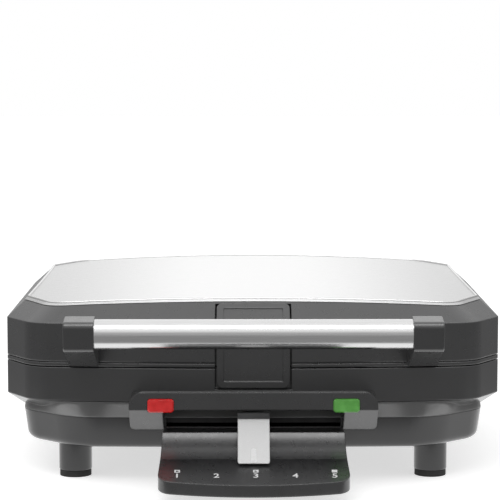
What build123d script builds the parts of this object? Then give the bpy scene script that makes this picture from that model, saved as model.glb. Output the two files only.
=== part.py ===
from build123d import *
from math import atan, cos, pi, radians, sin, sqrt, tan
import os

os.makedirs("parts", exist_ok=True)

# Square waffle maker, lid closed. Millimetres. X runs across the front, +Y to the back, +Z up.
# The origin is on the table, under the middle of the box that holds the whole appliance.

# Plan of the two body shells
body_width = 323.0
body_depth = 274.0
wall_bow = 10.0              # bulge of the front and back walls
corner_width = 19.0          # clipped corner, across
corner_depth = 30.0          # clipped corner, front to back
corner_round = 22.0          # where the front wall turns into the clipped corner
flank_round = 4.0            # where the clipped corner turns into the side wall
skin = 3.0                   # moulded wall

# Heights, from the table up
foot_height = 23.0
tray_height = 20.5
rim_height = 8.5             # tapering lower rim of the base shell
base_wall_height = 21.6
parting_gap = 0.8            # open line between base and lid
lid_wall_height = 27.6
crown_rise = 20.0            # top of the crown above the lid's upright wall

# Lid shoulder and crown
side_slope = 1.075             # run in for each millimetre of rise, at the sides
front_slope = 1.24           # the same at the front and back
crown_radius = 2100.0
crown_back = 32.0            # the crown's top lies behind the middle by this much
cover_thickness = 1.2
cover_overhang = 0.4
groove_rise = 2.3            # from the lid's lower edge to its decorative groove
groove_height = 0.8
groove_depth = 1.0

# Base rim and tray
rim_inset = 9.5              # how far the rim tapers in at the sides and back
tray_reach = 8.5             # the tray stands this far in front of the front wall
tray_set_in = 11.5           # its side walls inside the body's
tray_bow = 3.0
tray_corner_width = 34.0
tray_corner_depth = 32.0
tray_corner_round = 40.0
tray_flank_round = 24.0
tray_draft = 2.5
tray_wall = 2.5
tray_edge_round = 6.0

# Waffle plates
section_side = 110.0         # one square waffle
divider = 6.0
plate_wall = 4.0
plate_floor = 3.0
plate_depth = 11.3           # from the parting face to the floor
flange_width = 4.0
flange_thickness = 2.3
face_gap = 0.4               # between the two plates
plate_draft = 8.0            # degrees
peg_rows = 5
peg_side = 13.0
peg_height = 9.0
peg_draft = 10.0
deck_thickness = 5.0
seat_clearance = 0.4
plate_round = 9.0

# Heating
heater_radius = 3.2
heater_reach = 80.0
heater_bend = 16.0
heater_opening = 14.0
heater_tail = 22.0
heater_gap = 0.1
boss_radius = 5.0
boss_height = 7.6
boss_reach = 45.0
reflector_half = 112.0
reflector_sheet = 0.8
reflector_lip = 5.0
plate_screw_radius = 1.8
screw_head_radius = 3.6
screw_head_height = 2.4
screw_clearance = 0.05

# Handle
bar_radius = 9.4
bar_bore = 6.0
bar_set_in = 62.5            # its ends inside the body's side walls
bar_reach = 35.0             # bar axis in front of the front wall
bar_height = 101.0
bracket_width = 19.0
spigot_length = 12.0
spigot_clearance = 0.05
boss_size = 19.5
boss_depth = 20.0
boss_round = 4.0
bracket_lean = 8.0           # degrees
bracket_edge = 1.0
arm_front = 5.0
arm_lift = 1.0
arm_top = 92.0
bracket_screw_height = 86.0
bracket_screw_pitch = 9.0

# Latch
latch_width = 46.8
latch_gap = 1.0
latch_thickness = 5.0
latch_proud = 1.2
latch_bottom = 61.2
latch_run = 14.0             # its top end, measured back along Y over the lid's shoulder
latch_pivot_depth = 7.0
latch_pivot_height = 103.0
latch_pin_radius = 1.5
latch_pin_length = 54.0
latch_pocket_depth = 6.8
backing = 2.6                # wall of the pocket
swing_drop = 9.0             # where the pocket deepens, below the top of the lid's wall
swing_depth = 4.2
swing_room = 9.4
ear_radius = 3.4
ear_inner = 10.0
ear_outer = 18.0
spring_top = 92.0
spring_foot = 6.0
spring_length = 20.0
spring_bow = 0.7
spring_sheet = 0.5
spring_width = 8.0
latch_round = 4.0
latch_panel_inset = 4.4
latch_panel_step = 0.7
nose_bottom = 64.4
nose_top = 67.4
nose_reach = 6.2             # its tip behind the front wall
nose_width = 16.0
catch_gap = 0.6
catch_depth = 11.0

# Control panel, scale tongue and browning slide
panel_width = 157.0
panel_reach = 25.0
panel_top = 63.4
panel_lip = 51.3
panel_bottom = 36.0
panel_fall = 4.6             # how far its top falls back towards the wall
panel_round = 10.0
panel_foot_round = 3.0
panel_edge = 1.0
well_width = 114.0
lens_width = 16.6
lens_height = 8.8
lens_spread = 117.0
lens_centre = 54.2
lens_depth = 6.0
lens_proud = 1.0
lens_round = 2.0
lens_bevel = 0.8
lamp_radius = 2.9
lamp_length = 11.0
lamp_spread = 124.0
tongue_reach = 75.0
tongue_tip = 14.0
tongue_front = 7.5
tongue_top = 37.0
tongue_width = 118.5
tongue_wall = 2.5
tongue_bow = 6.0
tongue_round = 9.0
tongue_heel = 1.0
scoop_start = 24.0           # from the front wall, where the scoop starts to fall
scoop_middle = 32.0
scoop_finish = 42.0
scoop_sag = 29.0
scoop_level = 23.5
slide_travel = 48.0          # each way from the middle
knob_width = 20.0
stem_width = 12.0
stem_bottom = 38.2
stem_height = 4.6
notch_clearance = 0.7
knob_top = 46.8
knob_tip = 22.4
knob_tip_lift = 0.6
knob_heel = 43.5
knob_top_reach = 27.5
knob_tip_reach = 51.0
knob_back_reach = 25.5
knob_thickness = 5.0
knob_edge = 1.2
cap_top = 49.8
cap_depth = 3.0

# Rack, pinion and thermostat
gear_module = 1.5
pinion_teeth = 28
rack_teeth = 24
backlash = 0.3
pressure_angle = 20.0        # degrees
gear_thickness = 4.6
rack_depth = 9.0             # pitch line behind the front wall
rack_bar = 4.0
lug_bottom = 29.5
lug_depth = 9.0
lug_length = 20.0
wheel_holes = 6
wheel_hole_ring = 11.5
wheel_hole_radius = 3.2
spindle_radius = 3.0
running_clearance = 0.05
thermostat_radius = 14.0
thermostat_gap = 0.8         # between the wheel and the thermostat
thermostat_ear = 38.0
spindle_top = 48.0
spindle_socket = 6.0
rail_radius = 2.0
rail_height = 32.5
rail_depth = 5.0
rail_span = 144.0
post_width = 5.0
post_depth = 8.0
post_height = 10.2

# Hinge
hinge_set_in = 66.5          # middle of each hinge inside the body's side walls
hinge_back = 9.0             # hinge axis behind the back wall
hinge_height = 76.0
pin_radius = 2.5
knuckle_radius = 6.0
knuckle_width = 16.0
cheek_radius = 6.5
cheek_width = 4.0
cheek_gap = 0.4
arm_plate_top = 94.0
arm_plate = 3.0
arm_turn = 35.0              # degrees, where the arm's outline meets its knuckle
cheek_turn = 30.0            # degrees, where the cheek's outline meets its eye

# Feet, fasteners and cord inlet
foot_radius = 10.75
foot_set_in = 34.0           # feet inside the tray's side walls
foot_setback = 34.0          # feet in from the tray's front and back edges
pad_height = 4.0
pad_inset = 0.5
foot_spigot_radius = 4.0
foot_spigot_height = 5.0
case_screw_radius = 1.75
case_screw_set_in = 18.0
case_screw_pitch = 180.0
case_post_radius = 5.0
case_screw_reach = 30.0
gland_x = 60.0
gland_drop = 11.6            # its axis below the base's top edge
gland_bore = 3.6
gland_radius = 6.5
gland_flange = 9.0
gland_flange_thickness = 3.0
gland_tail = 9.0
gland_clearance = 0.05
gland_snout = 7.0
terminal_set_in = 32.0
terminal_length = 36.0
terminal_depth = 14.0
terminal_height = 12.0
fuse_radius = 2.6
fuse_length = 14.0
handle_screw_radius = 2.0
handle_screw_length = 14.0

# Places worked out from the sizes above
tray_half_width = body_width / 2 - tray_set_in
tray_top = foot_height + tray_height
rim_top = tray_top + rim_height
base_top = rim_top + base_wall_height
lid_bottom = base_top + parting_gap
parting = base_top + parting_gap / 2
lid_wall_top = lid_bottom + lid_wall_height
crown_top = lid_wall_top + crown_rise
slope_rise = crown_rise + cover_thickness
front = tongue_reach - (tongue_reach + body_depth + hinge_back + cheek_radius) / 2
back = front + body_depth
middle = (front + back) / 2
tray_depth = body_depth + tray_reach - rim_inset
tray_middle = front - tray_reach + tray_depth / 2
plate_face = parting - face_gap / 2
plate_half = section_side + divider / 2 + plate_wall
flange_half = plate_half + flange_width
floor_top = plate_face - plate_depth
floor_under = floor_top - plate_floor
heater_level = floor_under - heater_gap - heater_radius
boss_under = floor_under - boss_height
hinge_axis = back + hinge_back
hinge_spread = body_width - 2 * hinge_set_in
pitch_radius = gear_module * pinion_teeth / 2
pinion_axis = front + rack_depth + pitch_radius
gear_bottom = stem_bottom
tray_floor = foot_height + tray_wall
opening_half = plate_half + seat_clearance
rebate_half = flange_half + seat_clearance
rebate_floor = plate_face - flange_thickness
rebate_depth = base_top - rebate_floor
floor_side = section_side - 2 * plate_depth * tan(radians(plate_draft))
section_pitch = section_side + divider
peg_pitch = floor_side / peg_rows
bar_length = body_width - 2 * bar_set_in
bar_y = front - bar_reach
bracket_centre = bar_length / 2 + bracket_width / 2
bracket_screws = [
    side * (bracket_centre + step * bracket_screw_pitch / 2) for side in (-1, 1) for step in (-1, 1)
]
foot_spread = 2 * (tray_half_width - foot_set_in)
foot_pitch = tray_depth - 2 * foot_setback
case_screw_spread_x = 2 * (tray_half_width - case_screw_set_in)
gland_height = base_top - gland_drop
tongue_root = well_width - 2 * seat_clearance
catch_middle = (rim_top + base_top) / 2
rack_pitch = pi * gear_module
rack_root = 1.25 * gear_module
rack_length = rack_teeth * rack_pitch
rack_back = front + rack_depth - rack_root
thermostat_bottom = gear_bottom + gear_thickness + thermostat_gap
bracket_span = knuckle_width + 2 * (cheek_gap + cheek_width)


def level(z, y=middle):
    """Horizontal sketch plane at height z, centred on the body's plan."""
    return Plane((0, y, z))


def facing(y):
    """Upright sketch plane that looks to the front: x is X, y is Z, and it extrudes forwards."""
    return Plane(origin=(0, y, 0), x_dir=(1, 0, 0), z_dir=(0, -1, 0))


def section(x=0.0):
    """Upright sketch plane from front to back: x is Y, y is Z, and it extrudes towards +X."""
    return Plane.YZ.offset(x)


def wall_set_back(x):
    """How far the bowed front wall lies behind its middle at a distance x from the centre line."""
    chord = body_width / 2 - corner_width
    radius = (chord ** 2 + wall_bow ** 2) / (2 * wall_bow)
    return radius - sqrt(radius ** 2 - x ** 2)


screw_seat = front + wall_set_back(bracket_centre) + skin - seat_clearance
gland_wall = back - wall_set_back(gland_x)


def finish(builder, name):
    """Label a finished piece and write it to its file."""
    builder.part.label = name
    export_step(builder.part, f"parts/{name}.step")


def pinion_tooth():
    """One involute tooth that points along +X, drawn about the wheel's axis."""
    root = pitch_radius - rack_root - gear_module / 2
    tip = pitch_radius + gear_module
    base = pitch_radius * cos(radians(pressure_angle))
    swing = tan(radians(pressure_angle)) - radians(pressure_angle)
    half = pi / 2 / pinion_teeth - backlash / 4 / pitch_radius + swing

    def flank(radius, side):
        unwound = sqrt(max((radius / base) ** 2 - 1, 0))
        angle = side * (half - unwound + atan(unwound))
        return (radius * cos(angle), radius * sin(angle))

    with BuildSketch() as tooth:
        with BuildLine():
            for side in (-1, 1):
                ThreePointArc(flank(base, side), flank((base + tip) / 2, side), flank(tip, side))
                Line(flank(base, side), (root * cos(half), side * root * sin(half)))
            Line(flank(tip, -1), flank(tip, 1))
            Line((root * cos(half), -root * sin(half)), (root * cos(half), root * sin(half)))
        make_face()
    return tooth.sketch


def rack_tooth():
    """One straight-sided tooth that points along +Y, drawn about the pitch line."""
    lean = tan(radians(pressure_angle))
    half = rack_pitch / 4 - backlash / 4
    with BuildSketch() as tooth:
        with BuildLine():
            Polyline(
                (-half - rack_root * lean, -rack_root),
                (-half + gear_module * lean, gear_module),
                (half - gear_module * lean, gear_module),
                (half + rack_root * lean, -rack_root),
                close=True,
            )
        make_face()
    return tooth.sketch


def clipped_plan(half_width, half_depth, bow, clip_width, clip_depth, front_round, side_round):
    """Plan with straight sides, clipped corners, and a front and back that bulge outward."""
    corner_x = half_width - clip_width
    corner_y = half_depth - bow
    flank_y = corner_y - clip_depth
    with BuildSketch() as plan:
        with BuildLine():
            for end in (-1, 1):
                ThreePointArc((-corner_x, end * corner_y), (0, end * half_depth), (corner_x, end * corner_y))
            for side in (-1, 1):
                Polyline(
                    (side * corner_x, -corner_y),
                    (side * half_width, -flank_y),
                    (side * half_width, flank_y),
                    (side * corner_x, corner_y),
                )
        make_face()
        rims = plan.vertices().filter_by_position(Axis.X, -corner_x - 0.01, corner_x + 0.01)
        fillet(rims, front_round)
        flanks = plan.vertices().filter_by(
            lambda v: abs(abs(v.X) - half_width) < 0.01 and abs(abs(v.Y) - flank_y) < 0.01
        )
        fillet(flanks, side_round)
    return plan.sketch


def body_plan(inset_x=0.0, inset_y=None):
    """Plan of the lid and base walls, drawn in by an inset."""
    drawn_y = inset_x if inset_y is None else inset_y
    return clipped_plan(
        body_width / 2 - inset_x, body_depth / 2 - drawn_y, wall_bow,
        corner_width, corner_depth, corner_round, flank_round,
    )


def tray_plan(inset=0.0):
    """Plan of the tray, drawn in by an inset."""
    return clipped_plan(
        tray_half_width - inset, tray_depth / 2 - inset, tray_bow,
        tray_corner_width, tray_corner_depth, tray_corner_round, tray_flank_round,
    )


def lid_form(bottom, inset, crown_drop):
    """Solid lid: upright wall, sloping shoulder and ball-shaped crown."""
    with BuildPart() as form:
        with BuildSketch(level(bottom)):
            add(body_plan(inset))
        extrude(amount=lid_wall_top - bottom)
        with BuildSketch(level(lid_wall_top)):
            add(body_plan(inset))
        with BuildSketch(level(lid_wall_top + slope_rise)):
            add(body_plan(inset + slope_rise * side_slope, inset + slope_rise * front_slope))
        loft(ruled=True)
        with Locations((0, middle + crown_back, crown_top - crown_radius)):
            Sphere(crown_radius - crown_drop, rotation=(0, 90, 0), mode=Mode.INTERSECT)
    return form.part


def base_form():
    """Solid base: upright wall, tapering rim, and the shoulder that flares out to the tray."""
    with BuildPart() as form:
        with BuildSketch(level(rim_top)):
            add(body_plan())
        extrude(amount=base_wall_height)
        with BuildSketch(level(tray_top)):
            add(body_plan(rim_inset))
        with BuildSketch(level(rim_top)):
            add(body_plan())
        loft(ruled=True)
        add(shoulder_form(0.0))
    return form.part


def shoulder_form(inset):
    """Shoulder that flares from inside the front wall out to the tray's edge."""
    with BuildPart() as form:
        with BuildSketch(level(tray_top, tray_middle)):
            add(tray_plan(inset))
        with BuildSketch(level(rim_top)):
            add(body_plan(rim_inset + skin + inset, skin / 2 + inset))
        loft(ruled=True)
    return form.part


def tray_form(inset, bottom):
    """Solid tray with drafted walls, drawn in by an inset."""
    with BuildPart() as form:
        with BuildSketch(level(bottom, tray_middle)):
            add(tray_plan(inset + tray_draft))
        with BuildSketch(level(tray_top, tray_middle)):
            add(tray_plan(inset))
        loft(ruled=True)
    return form.part


lid_outer = lid_form(lid_bottom, 0.0, cover_thickness)
base_outer = base_form()
tray_outer = tray_form(0.0, foot_height)

# Latch geometry, seen from the side
slope_length = sqrt(front_slope ** 2 + 1)
slope_back = front_slope / slope_length      # unit step up the lid's front shoulder, along Y
slope_up = 1 / slope_length                  # the same along Z
pivot_y = front + latch_pivot_depth
pocket_half = latch_width / 2 + latch_gap
pocket_end = latch_run + latch_gap * slope_back


def shoulder_point(run, outward=0.0):
    """Point over the lid's front shoulder, a run back from the wall and a height off the surface."""
    return (
        front + run - outward * slope_up,
        lid_wall_top + run / front_slope + outward * slope_back,
    )


def bend_point(outward):
    """Where a layer lying one height off the wall and off the shoulder turns the corner."""
    return (front - outward, lid_wall_top + outward * (1 - slope_up) / slope_back)


def latch_layer(outward, inward, bottom, end_run):
    """Side view of a layer that runs up the front wall and over the shoulder."""
    with BuildSketch() as layer:
        with BuildLine():
            Polyline(
                (front - outward, bottom),
                bend_point(outward),
                shoulder_point(end_run, outward),
                shoulder_point(end_run, -inward),
                bend_point(-inward),
                (front + inward, bottom),
                close=True,
            )
        make_face()
    return layer.sketch


def pocket_layer(deeper, bottom, end_run, outward):
    """Side view of the room behind the flap, deeper where the flap's top end swings in."""
    wall_y = front + latch_pocket_depth + deeper
    turn_z = lid_wall_top - swing_drop
    with BuildSketch() as layer:
        with BuildLine():
            Polyline(
                (front - outward, bottom),
                (wall_y, bottom),
                (wall_y, turn_z),
                (wall_y + swing_depth, turn_z + swing_depth),
                shoulder_point(end_run, -swing_room - deeper),
                shoulder_point(end_run, outward),
                bend_point(outward),
                close=True,
            )
        make_face()
    return layer.sketch


with BuildPart() as latch_pocket:
    with BuildSketch(section()):
        add(pocket_layer(0.0, latch_bottom - latch_gap, pocket_end, latch_proud + latch_gap))
    extrude(amount=pocket_half, both=True)


# Lid shell, with its plate opening, its latch pocket and the groove above the parting line
with BuildPart() as lid_housing:
    add(lid_outer)
    add(lid_form(lid_bottom + deck_thickness, skin, cover_thickness + skin), mode=Mode.SUBTRACT)
    with BuildSketch(section()):
        add(pocket_layer(backing, lid_bottom + deck_thickness / 2, pocket_end + backing, -skin / 2))
    extrude(amount=pocket_half + backing, both=True)
    add(latch_pocket.part, mode=Mode.SUBTRACT)
    with BuildSketch(level(lid_bottom)):
        RectangleRounded(2 * opening_half, 2 * opening_half, plate_round)
    extrude(amount=deck_thickness, mode=Mode.SUBTRACT)
    with BuildSketch(level(lid_bottom)):
        RectangleRounded(2 * rebate_half, 2 * rebate_half, plate_round)
    extrude(amount=rebate_depth, mode=Mode.SUBTRACT)
    with BuildSketch(level(lid_bottom + groove_rise)):
        add(body_plan())
        add(body_plan(groove_depth), mode=Mode.SUBTRACT)
    extrude(amount=groove_height, mode=Mode.SUBTRACT)
    with BuildSketch(section(-latch_pin_length / 2)):
        with Locations((pivot_y, latch_pivot_height)):
            Circle(latch_pin_radius + running_clearance)
    extrude(amount=latch_pin_length, mode=Mode.SUBTRACT)
    with BuildSketch(facing(screw_seat)):
        with Locations(*[(x, bracket_screw_height) for x in bracket_screws]):
            Circle(handle_screw_radius + screw_clearance)
    extrude(amount=2 * skin, mode=Mode.SUBTRACT)
    with BuildSketch(facing(screw_seat)):
        with Locations(*[(x, bracket_screw_height) for x in bracket_screws]):
            Circle(screw_head_radius + seat_clearance)
    extrude(amount=-screw_head_height, mode=Mode.SUBTRACT)
finish(lid_housing, "lid_housing")

# Steel cover plate: a thin ball-shaped sheet that follows the edge of the crown
with BuildPart() as cover_plate:
    add(lid_form(lid_wall_top - skin, -cover_overhang, 0.0))
    with Locations((0, middle + crown_back, crown_top - crown_radius)):
        Sphere(crown_radius - cover_thickness, rotation=(0, 90, 0), mode=Mode.SUBTRACT)
finish(cover_plate, "cover_plate")

# Base shell, with its deck, screw posts, latch catch and cord hole
with BuildPart() as base_housing:
    add(base_outer)
    with BuildSketch(level(rim_top)):
        add(body_plan(skin))
    extrude(amount=base_wall_height - deck_thickness, mode=Mode.SUBTRACT)
    add(shoulder_form(skin), mode=Mode.SUBTRACT)
    with BuildSketch(level(tray_top)):
        with GridLocations(case_screw_spread_x, case_screw_pitch, 2, 2):
            Circle(case_post_radius)
    extrude(amount=base_top - deck_thickness - tray_top)
    with BuildSketch(level(tray_top)):
        with GridLocations(case_screw_spread_x, case_screw_pitch, 2, 2):
            Circle(case_screw_radius + screw_clearance)
    extrude(amount=case_screw_reach - tray_height + screw_clearance, mode=Mode.SUBTRACT)
    with BuildSketch(section()):
        with Locations((front + skin / 2, catch_middle)):
            Rectangle(catch_depth + backing, base_top - rim_top, align=(Align.MIN, Align.CENTER))
    extrude(amount=pocket_half + backing, both=True)
    with BuildSketch(section()):
        with Locations((front + latch_pocket_depth, nose_bottom - catch_gap)):
            Rectangle(catch_depth - latch_pocket_depth, nose_top - nose_bottom + 2 * catch_gap,
                      align=(Align.MIN, Align.MIN))
    extrude(amount=nose_width / 2 + latch_gap, both=True, mode=Mode.SUBTRACT)
    add(latch_pocket.part, mode=Mode.SUBTRACT)
    with BuildSketch(level(base_top)):
        RectangleRounded(2 * opening_half, 2 * opening_half, plate_round)
    extrude(amount=-deck_thickness, mode=Mode.SUBTRACT)
    with BuildSketch(level(base_top)):
        RectangleRounded(2 * rebate_half, 2 * rebate_half, plate_round)
    extrude(amount=-rebate_depth, mode=Mode.SUBTRACT)
    with BuildSketch(facing(back)):
        with Locations((gland_x, gland_height)):
            Circle(gland_radius + gland_clearance)
    extrude(amount=3 * wall_bow, mode=Mode.SUBTRACT)
finish(base_housing, "base_housing")

# Tray, with posts for the case screws, the slide rail and the thermostat spindle
with BuildPart() as bottom_tray:
    add(tray_outer)
    fillet(bottom_tray.faces().sort_by(Axis.Z)[0].edges(), tray_edge_round)
    add(tray_form(tray_wall, tray_floor), mode=Mode.SUBTRACT)
    with BuildSketch(level(tray_floor)):
        with GridLocations(case_screw_spread_x, case_screw_pitch, 2, 2):
            Circle(case_post_radius)
    extrude(amount=tray_top - tray_floor)
    with BuildSketch(level(foot_height)):
        with GridLocations(case_screw_spread_x, case_screw_pitch, 2, 2):
            Circle(case_screw_radius + screw_clearance)
    extrude(amount=tray_height, mode=Mode.SUBTRACT)
    with BuildSketch(level(foot_height)):
        with GridLocations(case_screw_spread_x, case_screw_pitch, 2, 2):
            Circle(screw_head_radius + screw_clearance)
    extrude(amount=screw_head_height, mode=Mode.SUBTRACT)
    with BuildSketch(level(foot_height, tray_middle)):
        with GridLocations(foot_spread, foot_pitch, 2, 2):
            Circle(foot_spigot_radius + screw_clearance)
    extrude(amount=tray_wall, mode=Mode.SUBTRACT)
    with BuildSketch(level(tray_floor, front + rail_depth)):
        with GridLocations(rail_span, 1, 2, 1):
            Rectangle(post_width, post_depth)
    extrude(amount=post_height)
    with BuildSketch(section(-rail_span / 2 - post_width / 2)):
        with Locations((front + rail_depth, rail_height)):
            Circle(rail_radius + screw_clearance)
    extrude(amount=rail_span + post_width, mode=Mode.SUBTRACT)
    with BuildSketch(level(tray_floor, pinion_axis)):
        Circle(spindle_radius + tray_wall)
        Circle(spindle_radius + running_clearance, mode=Mode.SUBTRACT)
    extrude(amount=spindle_socket)
    with BuildSketch(facing(front)):
        with Locations((0, stem_bottom - notch_clearance)):
            Rectangle(2 * slide_travel + stem_width + 4 * notch_clearance, tray_height,
                      align=(Align.CENTER, Align.MIN))
    extrude(amount=2 * tray_reach, mode=Mode.SUBTRACT)
finish(bottom_tray, "bottom_tray")

# Waffle plates: four square sections of pegs in a flanged pan, the upper one a mirror image
with BuildPart() as lower_grid_plate:
    with BuildSketch(level(floor_under)):
        RectangleRounded(2 * plate_half, 2 * plate_half, plate_round)
    extrude(amount=plate_face - floor_under)
    with BuildSketch(level(rebate_floor)):
        RectangleRounded(2 * flange_half, 2 * flange_half, plate_round)
    extrude(amount=flange_thickness)
    with BuildSketch(level(floor_top)):
        with GridLocations(section_pitch, section_pitch, 2, 2):
            Rectangle(floor_side, floor_side)
    extrude(amount=plate_depth, taper=-plate_draft, mode=Mode.SUBTRACT)
    with BuildSketch(level(floor_top)):
        with GridLocations(section_pitch, section_pitch, 2, 2):
            with GridLocations(peg_pitch, peg_pitch, peg_rows, peg_rows):
                Rectangle(peg_side, peg_side)
    extrude(amount=peg_height, taper=peg_draft)
    with BuildSketch(level(boss_under)):
        with GridLocations(2 * boss_reach, 2 * boss_reach, 2, 2):
            Circle(boss_radius)
    extrude(amount=boss_height)
    with BuildSketch(level(boss_under)):
        with GridLocations(2 * boss_reach, 2 * boss_reach, 2, 2):
            Circle(plate_screw_radius + screw_clearance)
    extrude(amount=boss_height, mode=Mode.SUBTRACT)

# Heating element: one bent tube under the plate, with both tails at the back
with BuildPart() as lower_heater:
    with BuildLine(level(heater_level)) as heater_path:
        FilletPolyline(
            (-heater_opening, heater_reach + heater_tail),
            (-heater_opening, heater_reach),
            (-heater_reach, heater_reach),
            (-heater_reach, -heater_reach),
            (heater_reach, -heater_reach),
            (heater_reach, heater_reach),
            (heater_opening, heater_reach),
            (heater_opening, heater_reach + heater_tail),
            radius=heater_bend / 2,
        )
    with BuildSketch(Plane(heater_path.line @ 0, z_dir=heater_path.line % 0)):
        Circle(heater_radius)
    sweep()

# Reflector: a folded sheet that the plate screws hold against the bosses
with BuildPart() as lower_reflector:
    with BuildSketch(level(boss_under - reflector_sheet)):
        RectangleRounded(2 * reflector_half, 2 * reflector_half, plate_round)
    extrude(amount=reflector_sheet + reflector_lip)
    with BuildSketch(level(boss_under)):
        inner = 2 * (reflector_half - reflector_sheet)
        RectangleRounded(inner, inner, plate_round - reflector_sheet)
    extrude(amount=reflector_lip, mode=Mode.SUBTRACT)
    with BuildSketch(level(boss_under - reflector_sheet)):
        with GridLocations(2 * boss_reach, 2 * boss_reach, 2, 2):
            Circle(plate_screw_radius + screw_clearance)
    extrude(amount=reflector_sheet, mode=Mode.SUBTRACT)

with BuildPart() as lower_plate_screws:
    with GridLocations(2 * boss_reach, 2 * boss_reach, 2, 2):
        with Locations((0, middle, boss_under - reflector_sheet)):
            Cylinder(screw_head_radius, screw_head_height, align=(Align.CENTER, Align.CENTER, Align.MAX))
            Cylinder(plate_screw_radius, boss_height, align=(Align.CENTER, Align.CENTER, Align.MIN))

for low, high in (
    (lower_grid_plate, "upper_grid_plate"),
    (lower_heater, "upper_heater"),
    (lower_reflector, "upper_reflector"),
    (lower_plate_screws, "upper_plate_screws"),
):
    finish(low, high.replace("upper", "lower"))
    with BuildPart() as raised:
        add(mirror(low.part, about=Plane.XY.offset(parting), mode=Mode.PRIVATE))
    finish(raised, high)

# Handle: a tube between two arms that stand on the lid's front wall
with BuildPart() as handle_bar:
    with BuildSketch(section(-bar_length / 2)):
        with Locations((bar_y, bar_height)):
            Circle(bar_radius)
            Circle(bar_bore, mode=Mode.SUBTRACT)
    extrude(amount=bar_length)
finish(handle_bar, "handle_bar")

for side in (-1, 1):
    with BuildPart() as bracket:
        with BuildSketch(section(bar_length / 2)):
            with Locations(Location((bar_y, bar_height), bracket_lean)):
                RectangleRounded(boss_depth, boss_size, boss_round)
            with BuildLine():
                Polyline(
                    (bar_y - arm_front, bar_height - boss_size / 2),
                    (front, lid_bottom + arm_lift),
                    (front + 4 * skin, lid_bottom + arm_lift),
                    (front + 4 * skin, arm_top),
                    (front - arm_lift, arm_top),
                    (bar_y + boss_depth / 2, bar_height - arm_lift),
                    close=True,
                )
            make_face()
        extrude(amount=bracket_width)
        fillet(bracket.faces().sort_by(Axis.X)[-1].edges(), bracket_edge)
        with BuildSketch(section(bar_length / 2)):
            with Locations((bar_y, bar_height)):
                Circle(bar_bore - spigot_clearance)
        extrude(amount=-spigot_length)
        add(lid_outer, mode=Mode.SUBTRACT)
        with BuildSketch(facing(screw_seat)):
            with Locations(*[(x, bracket_screw_height) for x in bracket_screws]):
                Circle(handle_screw_radius + screw_clearance)
        extrude(amount=handle_screw_length + screw_clearance, mode=Mode.SUBTRACT)
    if side < 0:
        with BuildPart() as bracket_left:
            add(mirror(bracket.part, about=Plane.YZ, mode=Mode.PRIVATE))
        finish(bracket_left, "handle_bracket_left")
    else:
        finish(bracket, "handle_bracket_right")

with BuildPart() as handle_screws:
    with BuildSketch(facing(screw_seat)):
        with Locations(*[(x, bracket_screw_height) for x in bracket_screws]):
            Circle(handle_screw_radius)
    extrude(amount=handle_screw_length)
    with BuildSketch(facing(screw_seat)):
        with Locations(*[(x, bracket_screw_height) for x in bracket_screws]):
            Circle(screw_head_radius)
    extrude(amount=-screw_head_height)
finish(handle_screws, "handle_screws")

# Latch: a bent flap with a raised frame, two pivot ears and a nose that goes under the base's lip
with BuildPart() as latch_panel:
    with BuildSketch(section()):
        add(latch_layer(latch_proud, latch_thickness - latch_proud, latch_bottom, latch_run))
    extrude(amount=latch_width / 2, both=True)
    corner_edges = latch_panel.edges().filter_by(
        lambda e: abs(abs(e.center().X) - latch_width / 2) < 0.01 and abs(e.length - latch_thickness) < 0.01
    )
    fillet(corner_edges, latch_round)
    with BuildSketch(section()):
        add(latch_layer(latch_proud + latch_gap, latch_panel_step - latch_proud,
                        latch_bottom + latch_panel_inset, latch_run - latch_panel_inset * slope_back))
    extrude(amount=latch_width / 2 - latch_panel_inset, both=True, mode=Mode.SUBTRACT)
    with BuildSketch(section()):
        with Locations((pivot_y, latch_pivot_height)):
            Circle(ear_radius)
    extrude(amount=ear_outer, both=True)
    with BuildSketch(section()):
        with Locations((pivot_y, latch_pivot_height)):
            Rectangle(2 * ear_radius, 2 * ear_radius)
        add(latch_layer(2 * latch_thickness, latch_thickness - latch_proud, latch_bottom, 2 * latch_run),
            mode=Mode.SUBTRACT)
    extrude(amount=ear_inner, both=True, mode=Mode.SUBTRACT)
    with BuildSketch(section()):
        with Locations((pivot_y, latch_pivot_height)):
            Circle(latch_pin_radius + running_clearance)
    extrude(amount=latch_width / 2, both=True, mode=Mode.SUBTRACT)
    with BuildSketch(section()):
        with Locations((front, nose_bottom)):
            Rectangle(nose_reach, nose_top - nose_bottom, align=(Align.MIN, Align.MIN))
    extrude(amount=nose_width / 2, both=True)
finish(latch_panel, "latch_panel")

with BuildPart() as latch_pin:
    with BuildSketch(section(-latch_pin_length / 2)):
        with Locations((pivot_y, latch_pivot_height)):
            Circle(latch_pin_radius)
    extrude(amount=latch_pin_length)
finish(latch_pin, "latch_pin")

# Leaf spring on the back of the latch pocket
with BuildPart() as latch_spring:
    with BuildSketch(section()):
        with BuildLine():
            Polyline(
                (front + latch_pocket_depth, spring_top),
                (front + latch_pocket_depth, spring_top - spring_foot),
                (front + latch_pocket_depth - spring_bow, spring_top - spring_length),
                (front + latch_pocket_depth - spring_bow - spring_sheet, spring_top - spring_length),
                (front + latch_pocket_depth - spring_sheet, spring_top - spring_foot),
                (front + latch_pocket_depth - spring_sheet, spring_top),
                close=True,
            )
        make_face()
    extrude(amount=spring_width / 2, both=True)
finish(latch_spring, "latch_spring")

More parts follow.
